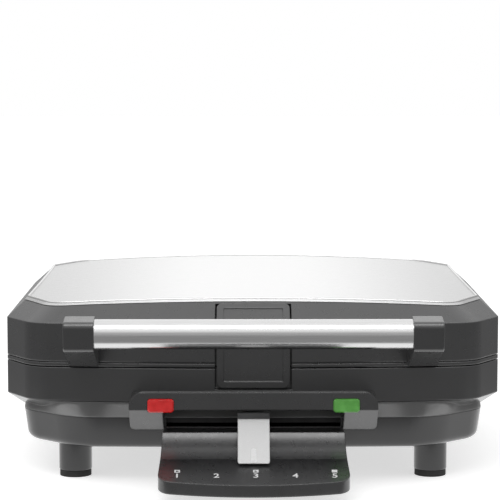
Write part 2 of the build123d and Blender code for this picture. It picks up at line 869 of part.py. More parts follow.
# Control panel: a hood with rounded upper corners and two ears, open between them for the slide
panel_y = front - panel_reach
with BuildPart() as control_panel:
    with BuildSketch(facing(front + panel_reach / 2)):
        with Locations((0, (panel_top + panel_bottom) / 2)):
            RectangleRounded(panel_width, panel_top - panel_bottom, panel_round)
        with Locations((0, panel_bottom)):
            RectangleRounded(panel_width, 2 * panel_round, panel_foot_round, align=(Align.CENTER, Align.MIN))
    extrude(amount=1.5 * panel_reach)
    with BuildSketch(section()):
        with BuildLine():
            Polyline(
                (panel_y, panel_lip),
                (panel_y, panel_top - panel_edge),
                (panel_y + panel_edge, panel_top),
                (front + panel_reach, panel_top - 2 * panel_fall),
                (front + panel_reach, panel_bottom),
                (front - tray_reach, panel_bottom),
                close=True,
            )
        make_face()
    extrude(amount=panel_width, both=True, mode=Mode.INTERSECT)
    with BuildSketch(section()):
        with Locations((panel_y, 0)):
            Rectangle(2 * panel_reach, panel_lip, align=(Align.MIN, Align.MIN))
    extrude(amount=well_width / 2, both=True, mode=Mode.SUBTRACT)
    with BuildSketch(facing(panel_y + lens_depth)):
        with Locations((-lens_spread / 2, lens_centre), (lens_spread / 2, lens_centre)):
            RectangleRounded(lens_width + 2 * screw_clearance, lens_height + 2 * screw_clearance, lens_round)
    extrude(amount=2 * lens_depth, mode=Mode.SUBTRACT)
    with BuildSketch(facing(panel_y + lens_depth)):
        with Locations((-lamp_spread / 2, lens_centre), (lamp_spread / 2, lens_centre)):
            Circle(lamp_radius + screw_clearance)
    extrude(amount=-lamp_length - screw_clearance, mode=Mode.SUBTRACT)
    add(base_outer, mode=Mode.SUBTRACT)
    add(tray_outer, mode=Mode.SUBTRACT)
finish(control_panel, "control_panel")

for side, name in ((-1, "red_lens"), (1, "green_lens")):
    with BuildPart() as lens:
        with BuildSketch(facing(panel_y + lens_depth - screw_clearance)):
            with Locations((side * lens_spread / 2, lens_centre)):
                RectangleRounded(lens_width, lens_height, lens_round)
        extrude(amount=lens_depth + lens_proud - screw_clearance)
        chamfer(lens.faces().sort_by(Axis.Y)[0].edges(), lens_bevel)
    finish(lens, name)

with BuildPart() as indicator_lamps:
    with BuildSketch(facing(panel_y + lens_depth)):
        with Locations((-lamp_spread / 2, lens_centre), (lamp_spread / 2, lens_centre)):
            Circle(lamp_radius)
    extrude(amount=-lamp_length)
finish(indicator_lamps, "indicator_lamps")

# Scale tongue: a scoop that curves down from the well to a sloping shelf with a rounded front
tongue_y = front - tongue_reach
with BuildPart() as scale_tongue:
    with BuildSketch(section()):
        with BuildLine():
            scoop_top = (front - scoop_start, tongue_top)
            scoop_end = (front - scoop_finish, scoop_level)
            Polyline(scoop_end, (tongue_y, tongue_tip), (tongue_y, tongue_tip - tongue_front),
                     (front, foot_height + tongue_heel), (front, tongue_top), scoop_top)
            ThreePointArc(scoop_top, (front - scoop_middle, scoop_sag), scoop_end)
        make_face()
    extrude(amount=tongue_width / 2, both=True)
    with BuildSketch(level(0)):
        with BuildLine():
            Polyline(
                (-tongue_width / 2, tongue_y + tongue_bow - middle),
                (-tongue_root / 2, front - middle),
                (tongue_root / 2, front - middle),
                (tongue_width / 2, tongue_y + tongue_bow - middle),
            )
            ThreePointArc(
                (-tongue_width / 2, tongue_y + tongue_bow - middle),
                (0, tongue_y - middle),
                (tongue_width / 2, tongue_y + tongue_bow - middle),
            )
        make_face()
        tips = vertices().sort_by(Axis.Y)[0:2]
        fillet(tips, tongue_round)
    extrude(amount=2 * tongue_top, mode=Mode.INTERSECT)
    with BuildSketch(section()):
        with BuildLine():
            Polyline(
                (tongue_y + tongue_bow + tongue_wall, 0),
                (tongue_y + tongue_bow + tongue_wall, tongue_tip - tongue_wall),
                (front - scoop_finish, scoop_level - tongue_wall),
                (front - scoop_start - tongue_wall, tongue_top - 3 * tongue_wall),
                (front - tray_reach - tongue_wall, tongue_top - 3 * tongue_wall),
                (front - tray_reach - tongue_wall, 0),
                close=True,
            )
        make_face()
    extrude(amount=tongue_width / 2 - tongue_wall, both=True, mode=Mode.SUBTRACT)
    add(tray_outer, mode=Mode.SUBTRACT)
finish(scale_tongue, "scale_tongue")

# Browning slide: silver paddle on a black carriage, whose rack runs behind the tray's front wall
with BuildPart() as slider_knob:
    with BuildSketch(section()):
        with BuildLine():
            Polyline(
                (front - knob_top_reach, knob_top),
                (front - knob_tip_reach, knob_tip),
                (front - knob_tip_reach + knob_thickness, knob_tip + knob_tip_lift),
                (front - knob_back_reach, knob_heel),
                (front - knob_back_reach, knob_top),
                close=True,
            )
        make_face()
    extrude(amount=knob_width / 2, both=True)
    fillet(slider_knob.faces().sort_by(Axis.Y)[0].edges().filter_by(
        lambda e: abs(abs(e.center().X) - knob_width / 2) < 0.01), knob_edge)
finish(slider_knob, "slider_knob")

with BuildPart() as slider_carriage:
    with BuildSketch(section()):
        with BuildLine():
            Polyline(
                (front - knob_back_reach, knob_heel),
                (front - knob_back_reach, cap_top),
                (front - knob_back_reach + knob_thickness, cap_top),
                (front - knob_back_reach + knob_thickness, stem_bottom + stem_height),
                (rack_back, stem_bottom + stem_height),
                (rack_back, stem_bottom),
                (front - knob_back_reach + knob_thickness / 2, stem_bottom),
                close=True,
            )
        make_face()
    extrude(amount=stem_width / 2, both=True)
    with BuildSketch(section()):
        with Locations((front - knob_back_reach, knob_top)):
            Rectangle(cap_depth, cap_top - knob_top, align=(Align.MAX, Align.MIN))
    extrude(amount=knob_width / 2, both=True)
    with BuildSketch(level(gear_bottom, front + rack_depth)):
        with Locations((0, -rack_root)):
            Rectangle(rack_length, rack_bar, align=(Align.CENTER, Align.MAX))
        with GridLocations(rack_pitch, 1, rack_teeth, 1):
            add(rack_tooth())
    extrude(amount=gear_thickness)
    with BuildSketch(section()):
        with Locations((front + rail_depth, gear_bottom)):
            Rectangle(lug_depth, gear_bottom - lug_bottom, align=(Align.CENTER, Align.MAX))
        with Locations((front + rail_depth, rail_height)):
            Circle(rail_radius + running_clearance, mode=Mode.SUBTRACT)
    extrude(amount=lug_length / 2, both=True)
finish(slider_carriage, "slider_carriage")

with BuildPart() as slide_rail:
    with BuildSketch(section(-rail_span / 2 - post_width / 2)):
        with Locations((front + rail_depth, rail_height)):
            Circle(rail_radius)
    extrude(amount=rail_span + post_width)
finish(slide_rail, "slide_rail")

# Thermostat: a toothed wheel on a spindle that turns in the thermostat and in the tray's socket
with BuildPart() as thermostat_pinion:
    with BuildSketch(level(gear_bottom, pinion_axis)):
        Circle(pitch_radius - rack_root)
        with PolarLocations(0, pinion_teeth):
            add(pinion_tooth())
        with PolarLocations(wheel_hole_ring, wheel_holes):
            Circle(wheel_hole_radius, mode=Mode.SUBTRACT)
    extrude(amount=gear_thickness)
    with BuildSketch(level(tray_floor + running_clearance, pinion_axis)):
        Circle(spindle_radius)
    extrude(amount=spindle_top - tray_floor)
finish(thermostat_pinion, "thermostat_pinion")

with BuildPart() as thermostat_body:
    with BuildSketch(level(thermostat_bottom, pinion_axis)):
        Circle(thermostat_radius)
        Rectangle(thermostat_ear, 2 * spindle_radius)
    extrude(amount=boss_under - reflector_sheet - thermostat_bottom)
    with BuildSketch(level(thermostat_bottom, pinion_axis)):
        Circle(spindle_radius + running_clearance)
    extrude(amount=spindle_top - thermostat_bottom + 4 * running_clearance, mode=Mode.SUBTRACT)
finish(thermostat_body, "thermostat_body")

# Hinge: lid arms with a knuckle, base brackets with two cheeks, one pin each
for side, name in ((-1, "left"), (1, "right")):
    knuckle_x = side * hinge_spread / 2
    with BuildPart() as arm:
        with BuildSketch(section(knuckle_x - knuckle_width / 2)):
            with BuildLine():
                Polyline(
                    (back - wall_bow, hinge_height + knuckle_radius / 2),
                    (back - wall_bow, arm_plate_top),
                    (back + arm_plate, arm_plate_top),
                    (hinge_axis + knuckle_radius * cos(radians(arm_turn)),
                     hinge_height + knuckle_radius * sin(radians(arm_turn))),
                    (hinge_axis, hinge_height),
                    close=True,
                )
            make_face()
            with Locations((hinge_axis, hinge_height)):
                Circle(knuckle_radius)
                Circle(pin_radius + running_clearance, mode=Mode.SUBTRACT)
        extrude(amount=knuckle_width)
        add(lid_outer, mode=Mode.SUBTRACT)
    finish(arm, "hinge_arm_" + name)
    with BuildPart() as bracket:
        with BuildSketch(section(knuckle_x - bracket_span / 2)):
            with BuildLine():
                Polyline(
                    (back - wall_bow, rim_top + cheek_width),
                    (back - wall_bow, base_top - parting_gap),
                    (hinge_axis - cheek_radius, base_top - parting_gap),
                    (hinge_axis, hinge_height),
                    (hinge_axis + cheek_radius * cos(radians(cheek_turn)),
                     hinge_height - cheek_radius * sin(radians(cheek_turn))),
                    (back + cheek_width, rim_top + cheek_width),
                    close=True,
                )
            make_face()
            with Locations((hinge_axis, hinge_height)):
                Circle(cheek_radius)
        extrude(amount=bracket_span)
        with BuildSketch(section(knuckle_x - knuckle_width / 2 - cheek_gap)):
            with Locations((back + cheek_width - wall_set_back(hinge_spread / 2), rim_top)):
                Rectangle(4 * knuckle_radius, 2 * base_wall_height, align=(Align.MIN, Align.MIN))
        extrude(amount=knuckle_width + 2 * cheek_gap, mode=Mode.SUBTRACT)
        with BuildSketch(section(knuckle_x - bracket_span / 2)):
            with Locations((hinge_axis, hinge_height)):
                Circle(pin_radius + running_clearance)
        extrude(amount=bracket_span, mode=Mode.SUBTRACT)
        add(base_outer, mode=Mode.SUBTRACT)
    finish(bracket, "hinge_bracket_" + name)
    with BuildPart() as pin:
        with BuildSketch(section(knuckle_x - bracket_span / 2)):
            with Locations((hinge_axis, hinge_height)):
                Circle(pin_radius)
        extrude(amount=bracket_span)
    finish(pin, "hinge_pin_" + name)

# Feet: tall round legs under the tray, each on a rubber pad
for side_x, hand in ((-1, "left"), (1, "right")):
    for side_y, place in ((-1, "front"), (1, "rear")):
        foot_x = side_x * foot_spread / 2
        foot_y = tray_middle + side_y * foot_pitch / 2
        with BuildPart() as foot:
            with BuildSketch(Plane((foot_x, foot_y, pad_height))):
                Circle(foot_radius)
            extrude(amount=foot_height - pad_height)
            chamfer(foot.edges().sort_by(Axis.Z)[0], pad_inset)
            with BuildSketch(Plane((foot_x, foot_y, foot_height))):
                Circle(foot_spigot_radius)
            extrude(amount=foot_spigot_height)
            with BuildSketch(Plane((foot_x, foot_y, pad_height))):
                Circle(foot_spigot_radius + screw_clearance)
            extrude(amount=pad_height, mode=Mode.SUBTRACT)
        finish(foot, f"foot_{place}_{hand}")
        with BuildPart() as pad:
            with BuildSketch(Plane((foot_x, foot_y, 0))):
                Circle(foot_radius - pad_inset)
            extrude(amount=pad_height)
            with BuildSketch(Plane((foot_x, foot_y, pad_height))):
                Circle(foot_spigot_radius)
            extrude(amount=pad_height - screw_clearance)
        finish(pad, f"foot_pad_{place}_{hand}")

with BuildPart() as tray_screws:
    with BuildSketch(level(foot_height)):
        with GridLocations(case_screw_spread_x, case_screw_pitch, 2, 2):
            Circle(case_screw_radius)
    extrude(amount=case_screw_reach)
    with BuildSketch(level(foot_height)):
        with GridLocations(case_screw_spread_x, case_screw_pitch, 2, 2):
            Circle(screw_head_radius)
    extrude(amount=screw_head_height)
finish(tray_screws, "tray_screws")

# Cord gland in the back wall, and the electrical parts behind it
with BuildPart() as cord_gland:
    with BuildSketch(facing(gland_wall + gland_flange_thickness)):
        with Locations((gland_x, gland_height)):
            Circle(gland_flange)
    extrude(amount=2 * gland_flange_thickness)
    add(base_outer, mode=Mode.SUBTRACT)
    with BuildSketch(facing(gland_wall + gland_snout)):
        with Locations((gland_x, gland_height)):
            Circle(gland_radius)
    extrude(amount=gland_snout + gland_tail)
    with BuildSketch(facing(gland_wall + gland_snout)):
        with Locations((gland_x, gland_height)):
            Circle(gland_bore)
    extrude(amount=gland_snout + gland_tail, mode=Mode.SUBTRACT)
finish(cord_gland, "cord_gland")

with BuildPart() as terminal_block:
    with BuildSketch(level(tray_floor, back - terminal_set_in)):
        with Locations((gland_x, 0)):
            Rectangle(terminal_length, terminal_depth)
    extrude(amount=terminal_height)
    with BuildSketch(level(tray_floor + terminal_height, back - terminal_set_in)):
        with Locations((gland_x, 0)):
            with GridLocations(terminal_length / 3, 1, 3, 1):
                Rectangle(terminal_length / 6, terminal_depth / 2)
    extrude(amount=-terminal_height / 2, mode=Mode.SUBTRACT)
finish(terminal_block, "terminal_block")

with BuildPart() as thermal_fuse:
    with BuildSketch(section(boss_reach / 2)):
        with Locations((middle, boss_under - reflector_sheet - fuse_radius - heater_gap)):
            Circle(fuse_radius)
    extrude(amount=fuse_length)
finish(thermal_fuse, "thermal_fuse")
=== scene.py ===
# %% [markdown]
# # A square waffle maker, dressed
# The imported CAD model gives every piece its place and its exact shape. This notebook adds what the
# CAD leaves out: the finishes of plastic and metal, a rolled rim round the cover, printed numbers
# and a pointer, and then a camera, a light tent and a floor to see it by.

# %% Load the fixed frame
import math

import bmesh
import bpy
from mathutils import Matrix, Vector
from mathutils.bvhtree import BVHTree


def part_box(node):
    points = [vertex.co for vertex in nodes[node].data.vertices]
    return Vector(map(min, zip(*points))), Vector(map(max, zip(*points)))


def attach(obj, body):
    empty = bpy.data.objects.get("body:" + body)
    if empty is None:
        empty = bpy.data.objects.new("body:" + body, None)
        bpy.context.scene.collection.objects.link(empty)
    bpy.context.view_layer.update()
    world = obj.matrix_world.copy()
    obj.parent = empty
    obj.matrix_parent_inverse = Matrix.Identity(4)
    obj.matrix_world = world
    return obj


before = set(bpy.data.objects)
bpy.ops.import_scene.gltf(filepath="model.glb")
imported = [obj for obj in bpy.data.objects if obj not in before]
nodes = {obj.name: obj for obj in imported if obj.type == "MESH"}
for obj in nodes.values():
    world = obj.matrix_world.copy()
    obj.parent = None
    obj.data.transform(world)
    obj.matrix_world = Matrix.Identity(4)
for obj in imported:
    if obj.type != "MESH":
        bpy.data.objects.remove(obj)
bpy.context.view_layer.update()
print(len(nodes), "CAD nodes loaded")

# %% [markdown]
# ## The places that the pieces share
# Blender works in metres, so one millimetre is named once and used for every size. Places are read
# from the boxes of the CAD nodes, so a piece stays with its node when the CAD changes. The body's
# front wall has no box of its own. It is found from the handle, which stands a known reach before
# it.

# %% Sizes and places
mm = 0.001
lid_low, lid_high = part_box("lid_housing")
bar_low, bar_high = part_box("handle_bar")
tray_low, tray_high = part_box("bottom_tray")
knob_low, knob_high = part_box("slider_knob")
bar_reach = 35 * mm
front_wall = (bar_low.y + bar_high.y) / 2 + bar_reach
lid_middle = (lid_low.y + lid_high.y) / 2
print("front wall at y =", round(front_wall / mm, 1), "mm")

# %% [markdown]
# ## Short ways to build a material
# Each finish below is a Principled shader with its colour, roughness or bump varied by noise. The
# noise reads Object coordinates, so it has the same scale on every piece and stays put when the
# view changes. The first helpers join single nodes, and the others make the steps of a finish.

# %% Node helpers
def ramped(tree, source, start, end, low=0.0, high=1.0, smooth=True):
    """A socket that goes from low to high while the source goes from start to end."""
    node = tree.nodes.new("ShaderNodeMapRange")
    if smooth:
        node.interpolation_type = "SMOOTHSTEP"
    limits = {"From Min": start, "From Max": end, "To Min": low, "To Max": high}
    for name, value in limits.items():
        node.inputs[name].default_value = value
    tree.links.new(source, node.inputs["Value"])
    return node.outputs["Result"]


def worked_out(tree, operation, first, second=None):
    """The result of one Math node. The second value may be a socket or a number."""
    node = tree.nodes.new("ShaderNodeMath")
    node.operation = operation
    tree.links.new(first, node.inputs[0])
    if isinstance(second, float):
        node.inputs[1].default_value = second
    elif second is not None:
        tree.links.new(second, node.inputs[1])
    return node.outputs["Value"]


def axes(tree, coordinates="Object"):
    """The coordinates as three sockets, X, Y and Z."""
    place = tree.nodes.new("ShaderNodeTexCoord")
    split = tree.nodes.new("ShaderNodeSeparateXYZ")
    tree.links.new(place.outputs[coordinates], split.inputs["Vector"])
    return split.outputs


def mixed(tree, kind, amount, first, second):
    """A mix of two colours or of two shaders, by an amount."""
    node = tree.nodes.new(kind)
    tree.links.new(amount, node.inputs["Fac"])
    tree.links.new(first, node.inputs[1])
    tree.links.new(second, node.inputs[2])
    return node.outputs[0]


def mirrored(tree):
    """One for a ray that was reflected or passed through glass, and zero for any other."""
    rays = tree.nodes.new("ShaderNodeLightPath")
    return worked_out(
        tree, "MAXIMUM", rays.outputs["Is Glossy Ray"], rays.outputs["Is Transmission Ray"]
    )


def seen_by_camera(tree):
    """One for what the camera sees without a mirror between, and zero for any other."""
    return tree.nodes.new("ShaderNodeLightPath").outputs["Is Camera Ray"]


print("node helpers ready")

# %% Material helpers
def new_finish(name, colour, metallic, roughness):
    """A node material and its Principled shader."""
    material = bpy.data.materials.new(name)
    material.use_nodes = True
    shader = material.node_tree.nodes["Principled BSDF"]
    shader.inputs["Base Color"].default_value = (*colour, 1)
    shader.inputs["Metallic"].default_value = metallic
    shader.inputs["Roughness"].default_value = roughness
    return material, shader


def object_noise(material, stretch, detail=3.0):
    """Noise on Object coordinates, with its scale in waves a metre along x, y and z."""
    tree = material.node_tree
    place = tree.nodes.new("ShaderNodeTexCoord")
    mapping = tree.nodes.new("ShaderNodeMapping")
    mapping.inputs["Scale"].default_value = stretch
    noise = tree.nodes.new("ShaderNodeTexNoise")
    noise.inputs["Scale"].default_value = 1.0
    noise.inputs["Detail"].default_value = detail
    tree.links.new(place.outputs["Object"], mapping.inputs["Vector"])
    tree.links.new(mapping.outputs["Vector"], noise.inputs["Vector"])
    return noise.outputs["Fac"]


def between(material, noise, low, high, socket):
    """Feeds a socket with the noise, spread from low to high."""
    spread = ramped(material.node_tree, noise, 0.3, 0.7, low, high, smooth=False)
    material.node_tree.links.new(spread, socket)


def shaded(material, noise, dark, light, start=0.3, end=0.7):
    """A colour that the noise varies between two."""
    ramp = material.node_tree.nodes.new("ShaderNodeValToRGB")
    first, last = ramp.color_ramp.elements
    first.position, last.position = start, end
    first.color, last.color = (*dark, 1), (*light, 1)
    material.node_tree.links.new(noise, ramp.inputs["Fac"])
    return ramp.outputs["Color"]


def tint(material, noise, dark, light, shader):
    """Varies the base colour between two colours with the noise."""
    colour = shaded(material, noise, dark, light)
    material.node_tree.links.new(colour, shader.inputs["Base Color"])


def relief(material, noise, height, shader, edge=0.0):
    """Bumps the surface by the noise, height in metres, and shades its edges as round."""
    tree = material.node_tree
    bump = tree.nodes.new("ShaderNodeBump")
    bump.inputs["Strength"].default_value = 1.0
    bump.inputs["Distance"].default_value = height
    tree.links.new(noise, bump.inputs["Height"])
    tree.links.new(bump.outputs["Normal"], shader.inputs["Normal"])
    if edge:
        rounded = tree.nodes.new("ShaderNodeBevel")
        rounded.samples = 8
        rounded.inputs["Radius"].default_value = edge
        tree.links.new(rounded.outputs["Normal"], bump.inputs["Normal"])


print("material helpers ready")

# %% [markdown]
# ## Black plastics
# The housings, brackets and tongue are moulded from one black plastic. What makes it read as gloss
# isn't the colour, which is nearly black, but what it mirrors. A real plastic has an index of
# refraction near 1.5. The 1.9 here was set by trial, so that the slopes come out as light as in the
# photograph. A slow ripple of a tenth of a millimetre keeps the mirror from being perfect. The
# corners of a moulding are never sharp, so the shader shades each edge as if it had a radius. That
# only bends the light: the mesh keeps the CAD's edge.

# %% Polished black plastic
moulded_edge = 1.2 * mm


def black_plastic(name, colour, roughness, index, coat, coat_roughness, ripple):
    """A dark plastic with a clear coat, before its colour is varied."""
    material, shader = new_finish(name, colour, 0.0, roughness)
    shader.inputs["IOR"].default_value = index
    shader.inputs["Coat Weight"].default_value = coat
    shader.inputs["Coat Roughness"].default_value = coat_roughness
    relief(material, object_noise(material, (14, 14, 14), 1), ripple, shader, moulded_edge)
    return material, shader


black = (0.018, 0.018, 0.019)
deep_black = (0.015, 0.015, 0.016)
pale_black = (0.021, 0.021, 0.022)
black_gloss, shader = black_plastic("black_gloss", black, 0.3, 1.9, 0.6, 0.16, 0.12 * mm)
tint(black_gloss, object_noise(black_gloss, (30, 30, 30)), deep_black, pale_black, shader)
marks = object_noise(black_gloss, (260, 260, 260), 6)
between(black_gloss, marks, 0.26, 0.34, shader.inputs["Roughness"])
print("polished plastic ready")

# %% [markdown]
# The shoulder at the foot of the base, where it flares out over the tray, is lighter than the walls
# in the photograph. It gets a paler, finely grained colour, which is painted sheen: it stands in for
# the light that the sloping band mirrors. That is a guess: a satin grain would look like this, but
# so would a polished slope under another light. The band is told from the rest by its height and by
# how far forward it lies, both in Object coordinates.

# %% Base with painted sheen on its shoulder
shoulder_rise = 7.6 * mm
shoulder_top = tray_high.z + shoulder_rise
shoulder_back = front_wall + 60 * mm
band_blur = 0.2 * mm

base_black, shader = black_plastic(
    "black_with_painted_sheen_shoulder", black, 0.3, 1.9, 0.6, 0.16, 0.12 * mm
)
tree = base_black.node_tree
place = axes(tree)
low_down = ramped(tree, place["Z"], shoulder_top + band_blur, shoulder_top)
forward = ramped(tree, place["Y"], shoulder_back + band_blur, shoulder_back)
band = worked_out(tree, "MULTIPLY", low_down, forward)
polished = shaded(
    base_black, object_noise(base_black, (30, 30, 30)), deep_black, pale_black, 0.0, 1.0
)
# Painted sheen: the paler colour of the shoulder band stands in for the light that the slope
# mirrors.
satin_and_painted_sheen = shaded(
    base_black, object_noise(base_black, (1600, 1600, 1600), 2),
    (0.13, 0.13, 0.13), (0.19, 0.19, 0.19), 0.0, 1.0,
)
painted = mixed(tree, "ShaderNodeMixRGB", band, polished, satin_and_painted_sheen)
tree.links.new(painted, shader.inputs["Base Color"])
print("satin shoulder from z", round(tray_high.z / mm, 1), "to", round(shoulder_top / mm, 1), "mm")

# %% [markdown]
# The tray and the feet look down on the bright table. In the polished black they mirrored so much
# of it that they came out lighter than in the photograph, so they get a lower index of refraction,
# nearer to a real plastic's.

# %% Tray plastic
tray_black, shader = black_plastic(
    "black_tray_plastic", (0.016, 0.016, 0.017), 0.22, 1.62, 0.4, 0.1, 0.1 * mm
)
mottle = object_noise(tray_black, (40, 40, 40))
tint(tray_black, mottle, (0.014, 0.014, 0.015), (0.020, 0.020, 0.021), shader)
print("tray plastic ready")

# %% [markdown]
# The slider's carriage and its pinion are a dull nylon, which slides without oil. The pads and the
# gland are rubber. Both are rough, so what tells them apart is the size of their grain.

# %% Nylon and rubber
nylon, shader = new_finish("dark_nylon", (0.05, 0.05, 0.052), 0.0, 0.5)
mottle = object_noise(nylon, (80, 80, 80))
tint(nylon, mottle, (0.042, 0.042, 0.043), (0.062, 0.062, 0.064), shader)
relief(nylon, object_noise(nylon, (2500, 2500, 2500)), 0.02 * mm, shader, 0.4 * mm)

rubber, shader = new_finish("black_rubber", (0.025, 0.025, 0.025), 0.0, 0.75)
mottle = object_noise(rubber, (120, 120, 120))
tint(rubber, mottle, (0.018, 0.018, 0.018), (0.036, 0.036, 0.035), shader)
relief(rubber, object_noise(rubber, (1800, 1800, 1800)), 0.05 * mm, shader, 0.6 * mm)
print("nylon and rubber ready")

# %% [markdown]
# ## Metals
# The cover is stainless steel brushed from side to side, so its noise is stretched: many waves a
# metre across the brushing and few along it. The bar is a finer satin, and the knob is plastic
# painted silver. The plain steel of pins and screws, and the tube of the heaters, which has turned
# straw and blue from heat, use the same recipe with other colours.
#
# The cover's colour also darkens toward its two ends. Real steel doesn't do that. It stands in for
# the light's fall-off in the photograph, which could also come from a narrower light above.

# %% Brushed steel
brushed_steel, shader = new_finish("brushed_steel", (0.94, 0.94, 0.94), 1.0, 0.3)
brushing = object_noise(brushed_steel, (12, 3200, 3200), 5)
tree = brushed_steel.node_tree
from_middle = worked_out(tree, "ABSOLUTE", axes(tree)["X"])
fall_off = ramped(tree, from_middle, 0.03, 0.15, 1.0, 0.72)
sheen = tree.nodes.new("ShaderNodeMixRGB")
sheen.blend_type = "MULTIPLY"
sheen.inputs["Fac"].default_value = 1.0
steel_colour = shaded(brushed_steel, brushing, (0.90, 0.90, 0.90), (1.0, 1.0, 1.0))
tree.links.new(steel_colour, sheen.inputs["Color1"])
tree.links.new(fall_off, sheen.inputs["Color2"])
tree.links.new(sheen.outputs["Color"], shader.inputs["Base Color"])
between(brushed_steel, brushing, 0.24, 0.38, shader.inputs["Roughness"])
relief(brushed_steel, brushing, 0.01 * mm, shader, 0.3 * mm)
print("brushed steel ready")

# %% Other metals
satin_silver, shader = new_finish("satin_silver", (0.80, 0.80, 0.80), 1.0, 0.22)
satin_and_painted_sheen = object_noise(satin_silver, (40, 2600, 2600), 4)
tint(satin_silver, satin_and_painted_sheen, (0.77, 0.77, 0.77), (0.84, 0.84, 0.84), shader)
between(satin_silver, satin_and_painted_sheen, 0.17, 0.27, shader.inputs["Roughness"])
relief(satin_silver, satin_and_painted_sheen, 0.004 * mm, shader, 0.5 * mm)

silver_paint, shader = new_finish("silver_paint", (0.55, 0.55, 0.55), 0.4, 0.35)
flakes = object_noise(silver_paint, (6000, 6000, 6000), 2)
tint(silver_paint, flakes, (0.47, 0.47, 0.47), (0.60, 0.60, 0.60), shader)
shader.inputs["Coat Weight"].default_value = 0.5
shader.inputs["Coat Roughness"].default_value = 0.1
relief(silver_paint, flakes, 0.005 * mm, shader, 0.9 * mm)

plain_steel, shader = new_finish("plain_steel", (0.62, 0.62, 0.62), 1.0, 0.35)
rolled = object_noise(plain_steel, (300, 300, 300), 5)
tint(plain_steel, rolled, (0.50, 0.50, 0.50), (0.68, 0.68, 0.68), shader)
between(plain_steel, rolled, 0.28, 0.45, shader.inputs["Roughness"])

heat_tinted, shader = new_finish("heat_tinted_tube", (0.20, 0.17, 0.14), 0.8, 0.5)
stains = object_noise(heat_tinted, (60, 60, 60), 5)
tint(heat_tinted, stains, (0.13, 0.12, 0.14), (0.30, 0.23, 0.16), shader)
relief(heat_tinted, object_noise(heat_tinted, (900, 900, 900)), 0.03 * mm, shader)
print("metals ready")

# %% [markdown]
# ## Non-stick coating, ceramic and lamp plastics
# The grid plates are cast aluminium under a dark sprayed coating with a fine orange peel. The
# lenses are clear coloured plastic over a lamp that is off, so they are bright but don't glow: a
# little light passes through them and the coat gives them a hard shine.

# %% Coating, ceramic and lenses
nonstick, shader = new_finish("nonstick_coating", (0.035, 0.035, 0.035), 0.3, 0.38)
mottle = object_noise(nonstick, (140, 140, 140), 4)
tint(nonstick, mottle, (0.028, 0.028, 0.028), (0.05, 0.049, 0.048), shader)
relief(nonstick, object_noise(nonstick, (1400, 1400, 1400), 3), 0.04 * mm, shader, 1.0 * mm)

ceramic, shader = new_finish("unglazed_ceramic", (0.80, 0.77, 0.70), 0.0, 0.6)
mottle = object_noise(ceramic, (220, 220, 220), 4)
tint(ceramic, mottle, (0.72, 0.69, 0.61), (0.84, 0.81, 0.75), shader)
relief(ceramic, object_noise(ceramic, (1500, 1500, 1500)), 0.05 * mm, shader)


def lens_finish(name, dark, light):
    """Hard clear plastic with its colour a little uneven, as over a lamp."""
    material, lens_shader = new_finish(name, light, 0.0, 0.12)
    tint(material, object_noise(material, (150, 60, 260), 2), dark, light, lens_shader)
    lens_shader.inputs["Coat Weight"].default_value = 0.6
    lens_shader.inputs["Coat Roughness"].default_value = 0.03
    lens_shader.inputs["Transmission Weight"].default_value = 0.15
    relief(material, object_noise(material, (90, 90, 90), 1), 0.02 * mm, lens_shader, 0.5 * mm)
    return material


red_plastic = lens_finish("red_lens_plastic", (0.75, 0.014, 0.014), (0.95, 0.035, 0.035))
green_plastic = lens_finish("green_lens_plastic", (0.10, 0.38, 0.06), (0.17, 0.56, 0.11))
lamp_glass, shader = new_finish("lamp_glass", (0.95, 0.90, 0.85), 0.0, 0.05)
shader.inputs["Transmission Weight"].default_value = 0.9
smears = object_noise(lamp_glass, (400, 400, 400))
between(lamp_glass, smears, 0.03, 0.09, shader.inputs["Roughness"])
print("coating, ceramic and lenses ready")

# %% [markdown]
# ## Give every CAD node its finish
# The nodes are grouped by what they are made of. A node that starts with one of the names in a
# group takes that group's finish, and what is in no group is polished black plastic.

# %% Assign the finishes
made_of = (
    (base_black, "base_housing"),
    (tray_black, "bottom_tray", "foot_front", "foot_rear"),
    (brushed_steel, "cover_plate"),
    (satin_silver, "handle_bar"),
    (silver_paint, "slider_knob"),
    (red_plastic, "red_lens"),
    (green_plastic, "green_lens"),
    (lamp_glass, "indicator_lamps"),
    (nonstick, "lower_grid_plate", "upper_grid_plate"),
    (heat_tinted, "lower_heater", "upper_heater"),
    (plain_steel, "lower_reflector", "upper_reflector", "lower_plate_screws",
     "upper_plate_screws", "handle_screws", "tray_screws", "hinge_pin", "latch_pin",
     "latch_spring", "slide_rail", "thermal_fuse"),
    (rubber, "foot_pad", "cord_gland"),
    (nylon, "slider_carriage", "thermostat_pinion"),
    (ceramic, "thermostat_body", "terminal_block"),
)
for name, node in nodes.items():
    fitting = [finish for finish, *names in made_of if name.startswith(tuple(names))]
    node.data.materials.clear()
    node.data.materials.append(fitting[0] if fitting else black_gloss)
print("finishes on", len(nodes), "nodes")

# %% [markdown]
# ## Adding pieces
# What the CAD leaves to this notebook is small: a rolled rim, printed marks, a pointer. Each is made
# as a mesh in its final place, rides on the body that carries it, and is given its finish. To sit on
# a curved or sloping face, a piece asks where that face is: a ray is shot at the CAD node, and the
# piece is laid on the point that it hits.

# %% Helpers for pieces
def new_piece(name, mesh, body, finish):
    """A finished mesh becomes an object that moves with a body."""
    mesh.materials.clear()
    mesh.materials.append(finish)
    piece = bpy.data.objects.new(name, mesh)
    bpy.context.scene.collection.objects.link(piece)
    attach(piece, body)
    print(name, "has", len(mesh.polygons), "faces")


def merged_copy(node):
    """The node's triangles joined at their shared corners, in a bmesh."""
    copy = bmesh.new()
    copy.from_mesh(nodes[node].data)
    bmesh.ops.remove_doubles(copy, verts=copy.verts, dist=0.001 * mm)
    return copy


